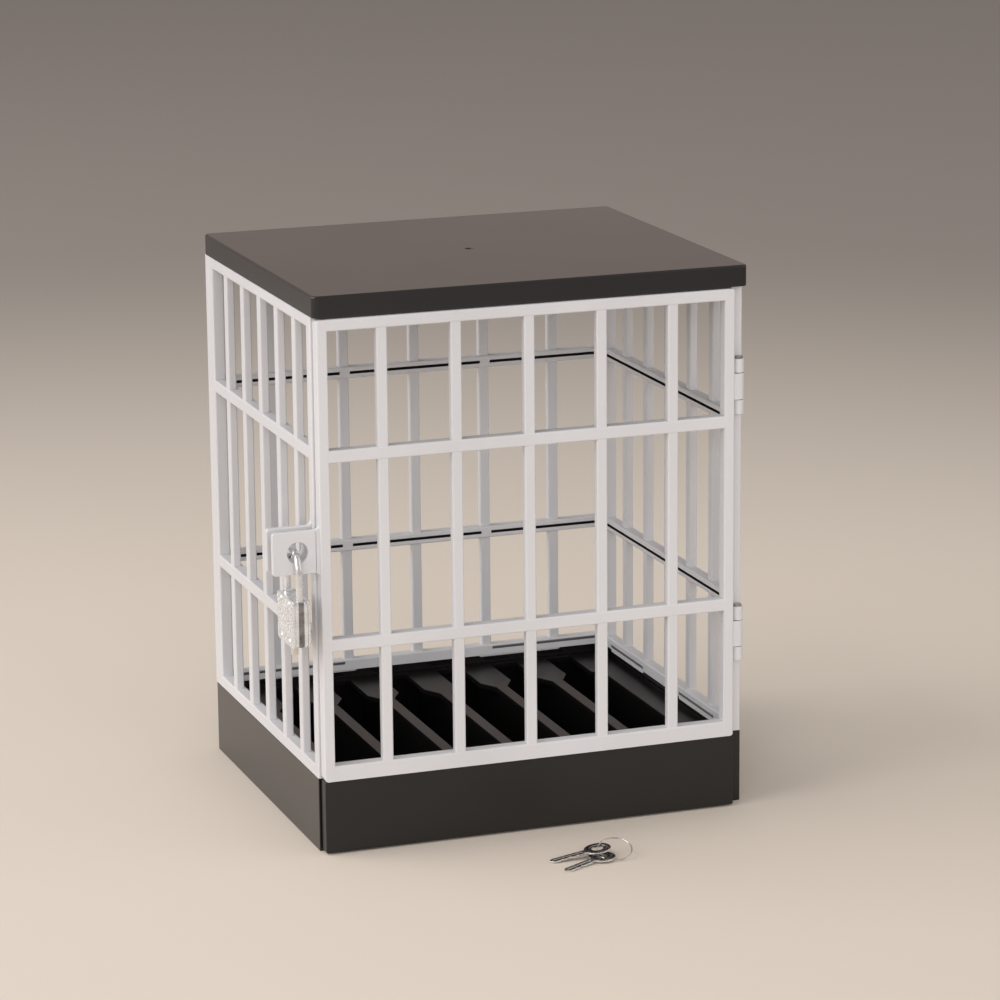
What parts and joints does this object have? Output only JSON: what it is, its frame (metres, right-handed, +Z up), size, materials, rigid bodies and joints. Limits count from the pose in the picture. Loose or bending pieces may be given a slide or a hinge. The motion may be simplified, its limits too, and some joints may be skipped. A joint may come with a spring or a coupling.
{
  "type": "phone jail",
  "caption": "Barred desktop cage that locks phones away: slotted black base, gray bar panels, lid, hinged door, hasp, small padlock and its keys.",
  "frame": {"origin": "centre of the base tray's underside, on the table", "axes": "+X to the right along the front, +Y from the door to the back, +Z up"},
  "size_m": [0.1952, 0.2043, 0.22],
  "materials": {
    "gray_plastic": "satin moulded",
    "black_plastic": "satin gloss",
    "rack_plastic": "gloss",
    "pin_steel": "plain",
    "lock_nickel": "nickel plated",
    "lock_zinc": "nickel plated die casting",
    "plug_brass": "nickel plated",
    "key_steel": "nickel plated"
  },
  "bodies": {
    "cage": {"base_tray": "black_plastic", "phone_rack": "rack_plastic", "left_panel": "gray_plastic", "right_panel": "gray_plastic", "back_panel": "gray_plastic", "lid": "black_plastic", "hinge_pin_lower": "pin_steel", "hinge_pin_upper": "pin_steel"},
    "door": {"door_panel": "gray_plastic", "door_kick_plate": "black_plastic"},
    "shackle": {"lock_shackle": "lock_nickel"},
    "lock_case": {"lock_core": "lock_zinc", "lock_outer_plate": "lock_nickel", "lock_inner_plate": "lock_nickel", "lock_rivets": "lock_nickel", "latch_spring": "pin_steel", "shackle_spring": "pin_steel"},
    "plug": {"lock_plug": "plug_brass"},
    "latch": {"lock_latch": "pin_steel"},
    "ring": {"key_ring": "key_steel"},
    "upper_key": {"key_1": "key_steel"},
    "lower_key": {"key_2": "key_steel"}
  },
  "joints": [
    {"name": "door_hinge", "type": "hinge", "parent": "cage", "child": "door", "pos_m": [0.0855, -0.07615, 0.1216], "axis": [0, 0, 1], "range_deg": [0, 170]},
    {"name": "lock_swing", "type": "hinge", "parent": "cage", "child": "shackle", "pos_m": [-0.0964, -0.07308, 0.1216], "axis": [0, 1, 0], "range_deg": [-8, 60]},
    {"name": "shackle_release", "type": "slide", "parent": "shackle", "child": "lock_case", "axis": [0, 0, -1], "range_m": [0, 0.0065]},
    {"name": "plug_turn", "type": "hinge", "parent": "lock_case", "child": "plug", "pos_m": [-0.0971, -0.07308, 0.09], "axis": [0, 0, 1], "range_deg": [0, 90]},
    {"name": "latch_slide", "type": "slide", "parent": "lock_case", "child": "latch", "axis": [0, -1, 0], "range_m": [0, 0.0007]},
    {"name": "ring_lift", "type": "slide", "parent": "door", "child": "ring", "axis": [0, 0, 1], "range_m": [0, 0.05]},
    {"name": "key_1_swing", "type": "hinge", "parent": "ring", "child": "upper_key", "pos_m": [0.00982, -0.11726, 0.00294], "axis": [-0.1262, -0.0066, 0.992], "range_deg": [-30, 0]},
    {"name": "key_2_swing", "type": "hinge", "parent": "ring", "child": "lower_key", "pos_m": [0.00985, -0.12195, 0.00116], "axis": [-0.036, -0.0168, 0.9992], "range_deg": [0, 30]}
  ],
  "couplings": [
    {"joint": "plug_turn", "follows": "latch_slide", "rad_per_m": 2244}
  ]
}
